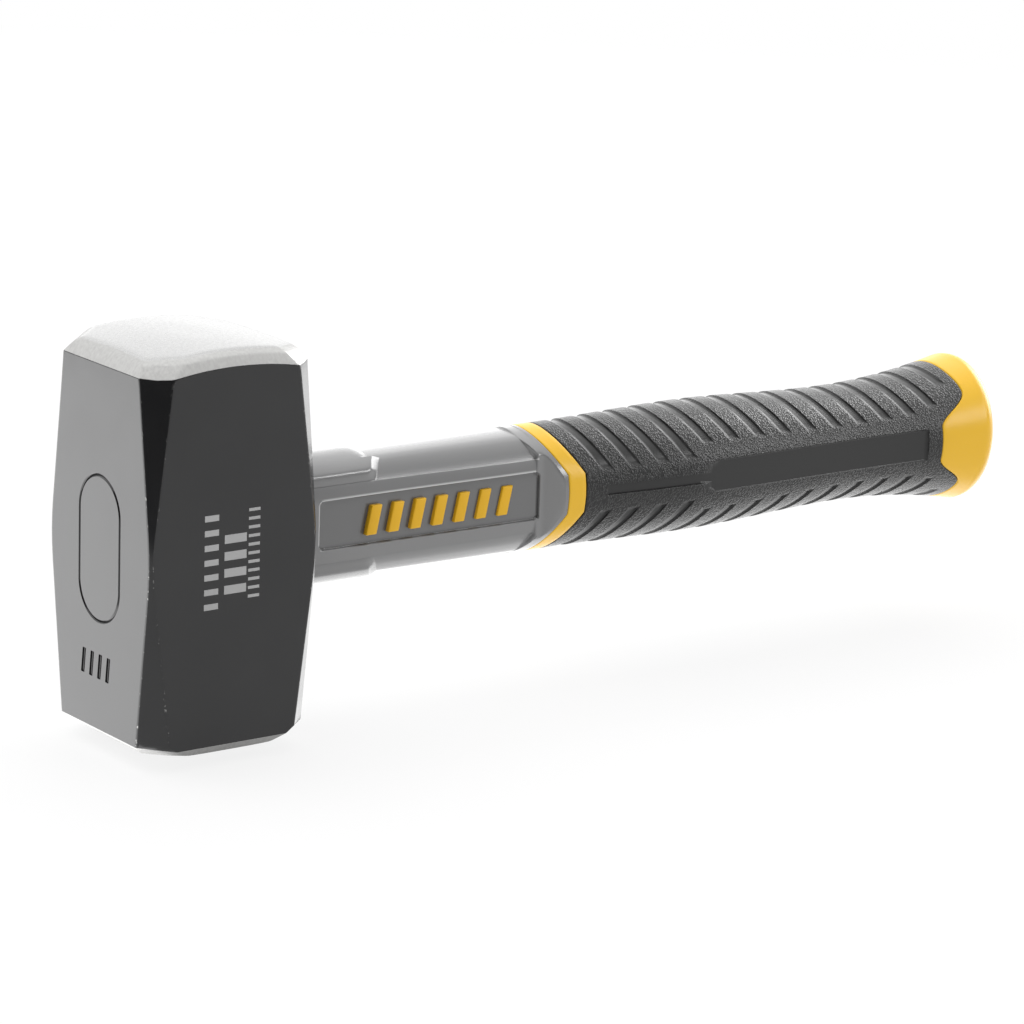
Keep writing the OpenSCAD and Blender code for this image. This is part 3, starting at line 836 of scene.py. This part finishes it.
def all_round(quarter):
    """Four quarters, each mirrored into the next: rows of the quarter with y and z signs."""
    n = len(quarter)
    loop = [(k, 1, 1) for k in range(n)] + [(k, -1, 1) for k in range(n - 2, -1, -1)]
    return loop + [(k, -1, -1) for k in range(1, n)] + [(k, 1, -1) for k in range(n - 2, 0, -1)]


columns = clustered([HW, 31.6, COLLAR_END, 47.1, WALL_X, 93.6, SMOOTH_X, NECK_END, RING_X],
                    2.0, (0.07, 0.15, 0.25, 0.4, 0.8))
loop = all_round(quarter_rows)
rings, sunk = [], []
for s in columns:
    quarter = [neck_point(s, kind, v) for kind, v in quarter_rows]
    rings.append([(quarter[k][0], quarter[k][1] * a, quarter[k][2] * b) for k, a, b in loop])
    for k, a, b in loop:
        x, y, z = quarter[k]
        # These values paint light and shade: a darker recess floor, near-black shade at the foot of
        # its wall, and pale highlight lines on lit edges.
        sunk.append(tray(x, z) + painted_wall_shade(x, z * b) + painted_edge_highlight(x, z * b, *quarter_rows[k]))
neck = tube("neck_moulding", rings, [GREY])
neck.data.attributes.new("sunk", "FLOAT", "POINT").data.foreach_set("value", sunk)
neck.data.set_sharp_from_angle(angle=math.radians(50))
finish(neck, "neck_shell", "neck_shell")

# %% [markdown]
# ## Handle behind the ring
# The ring, the grip and the butt share one skin: an ellipse whose width and height swell
# behind the ring, slim to a waist and flare out at the butt. All three are tubes on that
# skin, so their edges meet exactly. Rows run at fixed levels on the sides, where the
# smooth panel is, and at even angles over the top and bottom.

# %% The handle's skin
GRIP_X, SWELL_X, RIM_X, END_X = RING_X + RING_L, 142.0, 228.1, 232.5
BUTT_L, PANEL_TOP = 40, 5.2             # length of the butt's flare; where the side rows end
WAIST_X, TONGUE_X = RIM_X - BUTT_L, END_X - 18.0


def half_size(x, ring, swell, waist, butt):
    """Half a width or height at x, from what it measures at four places."""
    if x < SWELL_X:
        return ring + (swell - ring) * ease(x, RING_X - 3, SWELL_X)
    if x < WAIST_X:
        return swell + (waist - swell) * ease(x, SWELL_X, WAIST_X)
    return waist + (butt - waist) * min(1.0, (x - WAIST_X) / BUTT_L) ** 2


def half_w(x):
    return half_size(x, RING_A, 14.9, 14.5, 16.45)


def half_h(x):
    return half_size(x, RING_B, 16.05, 14.5, 18.65)


PANEL_Z = [0, 0.7, 1.1, 1.22, 1.32, 1.45, 2.2, 3, 3.6, 3.82, 3.93, 4.03, 4.2, 4.5, 4.8,
           PANEL_TOP]
OVER = [k / 30 for k in range(1, 31)]
skin_rows = [("side", v) for v in PANEL_Z] + [("over", v) for v in OVER]
skin_loop = all_round(skin_rows)


def skin(place_x, kind, v, depth=0.0):
    """A point of the quarter skin, and its angle. place_x(z) is its place on the handle."""
    z = v if kind == "side" else 10.0
    for _ in range(6):
        x = place_x(z)
        a, b = half_w(x), half_h(x)
        if kind == "side":
            t = math.asin(v / b)
        else:
            t = math.asin(PANEL_TOP / b)
            t += (math.pi / 2 - t) * v
        z = b * math.sin(t)
    return (x, (a - depth) * math.cos(t), (b - depth) * math.sin(t), math.degrees(t))


def slanted(s):
    return lambda z: s - SLANT * max(z - SLANT_Z, 0)


def mirrored(quarter):
    return [(quarter[k][0], quarter[k][1] * a, quarter[k][2] * b) for k, a, b in skin_loop]


def skin_ring(place_x, depth=0.0):
    """A closed ring of points on the skin, or at a depth under it."""
    return mirrored([skin(place_x, kind, v, depth) for kind, v in skin_rows])


# %% [markdown]
# ### Ring
# The ring is a plain band. Its two edges are rounded over a third of a millimetre, which
# is enough to give the thin dark joint lines on both sides of it. A section is a list of
# columns, each with its place and how deep it lies under the skin. DEEP is the depth of
# the hidden inner wall of the ring and of the rubber.

# %% Ring piece
DEEP = 3.0


def band(a, edge, between, b):
    """A section from a to b, with the same edge, in mirror image, at both ends."""
    return [(a + d, inset) for d, inset in edge] + between + [(b - d, i) for d, i in edge[::-1]]


edge = [(0.05, DEEP), (0.05, 0.35), (0.1, 0.16), (0.2, 0.05), (0.35, 0.0)]
a, b = RING_X + 0.8, GRIP_X - 0.8
section = band(RING_X, edge, [(a + (b - a) * k / 5, 0.0) for k in range(5)], GRIP_X)
rings = [skin_ring(slanted(s), inset) for s, inset in section]
ring = tube("yellow_ring", rings, [YELLOW], closed_loop=True)
finish(ring, "handle_shell", "handle_shell")

# %% [markdown]
# ### Butt
# The butt flares out, rounds over at its rim and ends in a flat face. The rubber laps
# over it with a wavy edge: a short tongue of yellow on each side, and lobes of rubber
# above and below. The first columns of the tube follow that wave.

# %% Butt piece
def butt_edge(z):
    """Where the yellow starts at level z: a tongue at the side, then the rubber's lobe."""
    u = abs(z)
    return TONGUE_X + 8.5 * ease(u, 4.2, 12) - 1.7 * ease(u, 12, 18.65)


SLEEVE_X, SLEEVE_DEEP = 206.0, 9.0     # the butt's hidden root under the rubber
ROUND, EDGE_L = 4.4, 0.45              # how the butt rounds over at its rim and at its edge
rings = [skin_ring(lambda z: SLEEVE_X, SLEEVE_DEEP)]
for d, inset in ((0.05, DEEP), (0.05, 0.4), (0.12, 0.2), (0.25, 0.06), (EDGE_L, 0.0)):
    rings.append(skin_ring(lambda z: butt_edge(z) + d, inset))
for k in range(1, 13):
    share = k / 12
    rings.append(skin_ring(lambda z: (butt_edge(z) + EDGE_L) * (1 - share) + RIM_X * share))
for k in range(1, 17):
    q = math.radians(5 * k)
    x = RIM_X + ROUND * math.sin(q) / math.sin(math.radians(80))
    flat = skin_ring(lambda z: RIM_X, ROUND * (1 - math.cos(q)))
    rings.append([(x, y, z) for _, y, z in flat])
flat = skin_ring(lambda z: RIM_X, 3.64)
rings += [[(END_X, y * share, z * share) for _, y, z in flat] for share in (0.8, 0.5, 0.2)]
butt = tube("yellow_butt", rings, [YELLOW])
butt.data.set_sharp_from_angle(angle=math.radians(60))
finish(butt, "handle_shell", "handle_shell")

# %% [markdown]
# ### Grip
# The rubber sleeve is first made without slots, with columns that already stand where
# their walls will be. Three attributes go with it: how far along the slanted columns a
# point is, its angle from the side, and where the panel is smooth. The slots repeat at an
# even pitch, so Geometry Nodes cuts them: the tree works out which slot a point is in,
# and sinks it along its normal.

# %% Smooth grip
SLOTS, PITCH, FIRST, SLOT_W = 15, 8.03, GRIP_X + 8.1, 3.4
C_END = 228.7                          # the last column, before it is squeezed to the edge
PANEL_X, BROAD_X, PANEL_END = 111.05, 139.05, 210.0     # the side panel's three places
BESIDE = (-4.1, -3.55, -3.4, -3.25, -3.1, -2.2, -1.2, -0.5, -0.22, -0.1, 0.0, 0.12, 0.5, 1.6)
cuts = [FIRST + i * PITCH + d for i in range(SLOTS) for d in BESIDE]
starts = [GRIP_X + d for d in (0.35, 0.8, 1.6, 2.6)] + [PANEL_X, 111.2, 111.35]
ends = [C_END - d for d in (1.3, 0.7, 0.45)] + [PANEL_END - d for d in (0.3, 0.15, 0.0, -0.2)]
columns = []
for c in sorted(cuts + starts + ends):
    if GRIP_X + 0.3 < c < C_END - 0.4 and (not columns or c - columns[-1] > 0.07):
        columns.append(c)


def grip_place(c):
    """Place of column c at level z: slanted, but squeezed to end at the wavy edge."""
    def at(z):
        end = butt_edge(z) + SLANT * max(z - SLANT_Z, 0)
        s = c if c < end - 6 else end - 6 + (c - end + 6) * 6 / (C_END - end + 6)
        return s - SLANT * max(z - SLANT_Z, 0)
    return at


def panel(x, z):
    """1 on the smooth side panel, 0 outside it."""
    half = 1.3 if x < BROAD_X else min(4.0, 1.3 + (x - BROAD_X) * 0.75)
    return ease(half - z, -0.05, 0.2) * ease(x, PANEL_X, 111.4) * (1 - ease(x, 209.9, 210.2))


def grip_column(c, depth):
    """The rows of a column: x, y, z, place along the slant, angle, and smoothness."""
    out = []
    for kind, v in skin_rows:
        x, y, z, turned = skin(grip_place(c), kind, v, depth)
        sunk = panel(x, z) if depth < 1 else 0.0
        y += (half_w(x) - 0.8 - y) * sunk
        out.append((x, y, z, x + SLANT * max(z - SLANT_Z, 0), turned, sunk))
    return out


edge = [(0.05, DEEP), (0.05, 0.4), (0.1, 0.18), (0.2, 0.05)]
section = band(GRIP_X, edge, [(c, 0.0) for c in columns], C_END)
rows = [grip_column(c, inset) for c, inset in section]
grip = tube("rubber_grip", [mirrored(row) for row in rows], [RUBBER], closed_loop=True)
for index, name in ((3, "along"), (4, "turned"), (5, "smooth")):
    values = [row[k][index] for row in rows for k, a, b in skin_loop]
    grip.data.attributes.new(name, "FLOAT", "POINT").data.foreach_set("value", values)
print("grip has", len(section), "columns of", len(skin_loop), "points")

# %% Slot tree
def slot_tree():
    """Sinks the slots into the grip, and marks their floors as smooth."""
    tree, i = new_tree("Grip slots", {
        "First wall": FIRST, "Pitch": PITCH, "Slots": float(SLOTS), "Width": SLOT_W,
        "Deep": 0.45, "Shallow": 0.3})

    def calc(operation, *values, clamp=False):
        return maths(tree, operation, *values, clamp=clamp)

    along, angle, plain = (box(tree, "GeometryNodeInputNamedAttribute", {"Name": name})
                           for name in ("along", "turned", "smooth"))
    # Which slot this is, and how far in front of the slot's far wall the point lies.
    number = calc("DIVIDE", calc("SUBTRACT", along, i["First wall"]), i["Pitch"])
    number = calc("MAXIMUM", calc("CEIL", calc("SUBTRACT", number, 0.001)), 0.0)
    wall = calc("MULTIPLY_ADD", number, i["Pitch"], i["First wall"])
    back = calc("SUBTRACT", wall, along)
    share = calc("DIVIDE", back, i["Width"], clamp=True)
    depth = remap(tree, share, 0.0, 1.0, i["Deep"], i["Shallow"])
    walls = calc("MULTIPLY", remap(tree, back, 0.0, 0.2),
                 remap(tree, calc("SUBTRACT", i["Width"], back), 0.0, 0.28))
    # The slots end at a fixed angle: longer ones by the ring, short ones at the butt.
    end = 19.5
    for after, more in ((3.5, 12.0), (12.5, 4.5), (13.5, 19.0)):
        end = calc("MULTIPLY_ADD", calc("GREATER_THAN", number, after), more, end)
    inside = calc("MULTIPLY", remap(tree, calc("SUBTRACT", angle, end), -0.6, 1.6),
                  calc("LESS_THAN", number, calc("SUBTRACT", i["Slots"], 0.5)))
    mask = calc("MULTIPLY", walls, inside)
    sink = calc("MULTIPLY", calc("MULTIPLY", depth, mask), -MM)
    normal = box(tree, "GeometryNodeInputNormal")
    offset = box(tree, "ShaderNodeVectorMath", {0: normal, "Scale": sink}, operation="SCALE")
    kept = box(tree, "GeometryNodeStoreNamedAttribute", {
        "Geometry": i["Geometry"], "Name": "smooth", "Value": calc("MAXIMUM", plain, mask)},
        data_type="FLOAT", domain="POINT")
    moved = box(tree, "GeometryNodeSetPosition", {"Geometry": kept, "Offset": offset})
    real = box(tree, "GeometryNodeRealizeInstances", {"Geometry": moved})
    return close_tree(tree, real, i["Material"])


run_tree(grip, slot_tree(), Material=RUBBER)
grip.data.set_sharp_from_angle(angle=math.radians(70))
finish(grip, "grip", "grip")

# %% [markdown]
# ## Raised and printed marks
# The raised bars are moulded in yellow with the ring, and stand in the neck's tray. The
# print is ink on the lacquer: plates 0.04 mm thick, half sunk into the cheek, in three
# columns of ticks that run up it.

# %% Raised bars
RAISED = plastic("raised_mark_yellow", (0.60, 0.335, 0.008), (0.66, 0.37, 0.012), 0.36, 0.44,
                 **{"Specular IOR Level": 0.3})
UPRIGHT = Matrix.Identity(3)
for side, name in ((-1, "near"), (1, "far")):
    bars = bar_row("raised_bars_" + name, RAISED, (46.4, side * 8.15, 0), UPRIGHT, 0.22,
                   count=7, pitch=6.2, tall=7.0, broad=2.9, thick=1.5, lean=0.22)
    finish(bars, "handle_shell")

# %% Printed ticks
PRINT = plastic("printed_marks", (0.30, 0.30, 0.30), (0.36, 0.36, 0.36), 0.5, 0.6)
UP_THE_CHEEK = Matrix.Rotation(math.radians(-90), 3, "Y")
for name, x, low, count, pitch, wide, thick in (
        ("print_broad", -6.2, -10.4, 7, 3.4, 3.7, 1.4), ("print_tall", 0.1, -7.0, 4, 3.9, 5.8, 2.0),
        ("print_fine", 5.0, -9.2, 11, 2.0, 3.0, 0.7)):
    ticks = bar_row(name, PRINT, (x, 0.021 - HW, low), UP_THE_CHEEK, 0, count=count, pitch=pitch,
                    tall=wide, broad=thick, thick=0.04, lean=0.0)
    finish(ticks, "head")

# %% [markdown]
# ## Floor and light
# The studio is a pale floor with white all round it. The camera sees the floor as almost
# white, and as white far away, but it still takes the hammer's soft shadow. Matt surfaces
# are lit by an even grey sky and an overhead softbox. Reflections see a sky that is
# bright behind and above and dark where the camera stands, two softboxes on the right,
# two panels of a light table, and a black flag that darkens the head's near corner.

# %% Floor and light
def floor_material():
    material, tree, shader = new_material("pale_floor", **{
        "Base Color": (0.68, 0.68, 0.68, 1), "Roughness": 0.9, "Specular IOR Level": 0.1})
    out = next(n for n in tree.nodes if n.type == "OUTPUT_MATERIAL")
    path = add(tree, "ShaderNodeLightPath").outputs
    camera_ray, glossy_ray = path["Is Camera Ray"], path["Is Glossy Ray"]
    glow = box(tree, "ShaderNodeEmission", {"Color": (1, 1, 1, 1), "Strength": 1.0})
    seen = maths(tree, "MAXIMUM", maths(tree, "MULTIPLY", camera_ray, 1.35),
                 maths(tree, "MAXIMUM", glossy_ray, path["Is Transmission Ray"]))
    share = maths(tree, "MULTIPLY_ADD", seen, 0.24, 0.5)
    away = add(tree, "ShaderNodeVectorMath", {0: here(tree)}, operation="LENGTH").outputs["Value"]
    # Painted shadow: reflections see the floor darker right under the head.
    under = maths(tree, "MULTIPLY", remap(tree, away, 0.03, 0.018, 0.0, 0.45), glossy_ray)
    far = maths(tree, "MULTIPLY", remap(tree, away, 0.4, 1.1), camera_ray)
    share = maths(tree, "MAXIMUM", maths(tree, "SUBTRACT", share, under), far)
    mixed = box(tree, "ShaderNodeMixShader", {0: share, 1: shader.outputs[0], 2: glow})
    wire(tree, out, {"Surface": mixed})
    return material


def card(name, corners, material):
    """A flat four-cornered part of the studio, in metres."""
    mesh = bpy.data.meshes.new(name)
    mesh.from_pydata(corners, [], [(0, 1, 2, 3)])
    mesh.materials.append(material)
    thing = linked(name, mesh)
    return thing


card("floor", [(-3, -3, 0), (3, -3, 0), (3, 3, 0), (-3, 3, 0)], floor_material())
BLACK = new_material("black_flag", **{"Base Color": (0.01, 0.01, 0.01, 1), "Roughness": 1.0})[0]
(ax, ay), (bx, by), top = (-0.42, -0.02), (-0.12, -0.42), 0.7
flag = card("flag", [(ax, ay, 0), (bx, by, 0), (bx, by, top), (ax, ay, top)], BLACK)
flag.visible_camera = flag.visible_diffuse = flag.visible_shadow = False
flag.visible_transmission = False

# %% World and lamps
world = bpy.data.worlds.new("studio")
bpy.context.scene.world = world
world.use_nodes = True
sky = world.node_tree
sky.nodes.clear()
path = add(sky, "ShaderNodeLightPath").outputs
ray = add(sky, "ShaderNodeTexCoord").outputs["Generated"]
direction = add(sky, "ShaderNodeSeparateXYZ", {0: ray}).outputs
behind = remap(sky, direction[1], -0.12, 0.4, 0.14, 1.92)
above = remap(sky, direction[2], 0.3, 0.85, 0.0, 2.2)
shaped, even, white = (
    box(sky, "ShaderNodeBackground", {"Color": (1, 1, 1, 1), "Strength": strength})
    for strength in (maths(sky, "MAXIMUM", behind, above), 0.7, 1.0))
mixed = box(sky, "ShaderNodeMixShader", {0: path["Is Diffuse Ray"], 1: shaped, 2: even})
mixed = box(sky, "ShaderNodeMixShader", {0: path["Is Camera Ray"], 1: mixed, 2: white})
add(sky, "ShaderNodeOutputWorld", {"Surface": mixed})


def softbox(name, at, target, size, power):
    """A rectangular lamp that faces its target. Sizes are in metres, power in watts."""
    lamp = bpy.data.lights.new(name, "AREA")
    lamp.shape, lamp.size, lamp.size_y, lamp.energy = "RECTANGLE", *size, power
    thing = linked(name, lamp)
    at, target = Vector(at), Vector(target)
    facing = (target - at).to_track_quat("-Z", "Y").to_matrix().to_4x4()
    thing.matrix_world = Matrix.Translation(at) @ facing
    return thing


softbox("overhead", (0.1, 0.6, 1.3), (0.1, 0, 0.05), (2.2, 1.5), 30).visible_glossy = False
softbox("front_right", (0.85, -0.85, 0.38), (0.08, 0, 0.05), (0.55, 0.2), 3.1)
softbox("right", (1.2, 0.1, 0.42), (0.1, 0, 0.05), (0.7, 0.8), 11).visible_diffuse = False
# Two panels of the light table lie on the floor behind the hammer and shine straight up.
for name, x, y, wide, deep, power in (("table_left", -0.2, 0.21, 0.36, 0.46, 1.3),
                                      ("table_right", 0.23, 0.192, 0.5, 0.415, 0.7)):
    table = softbox(name, (x, y, 0.0004), (x, y + 0.0001, 1), (wide, deep), power)
    table.visible_camera = False
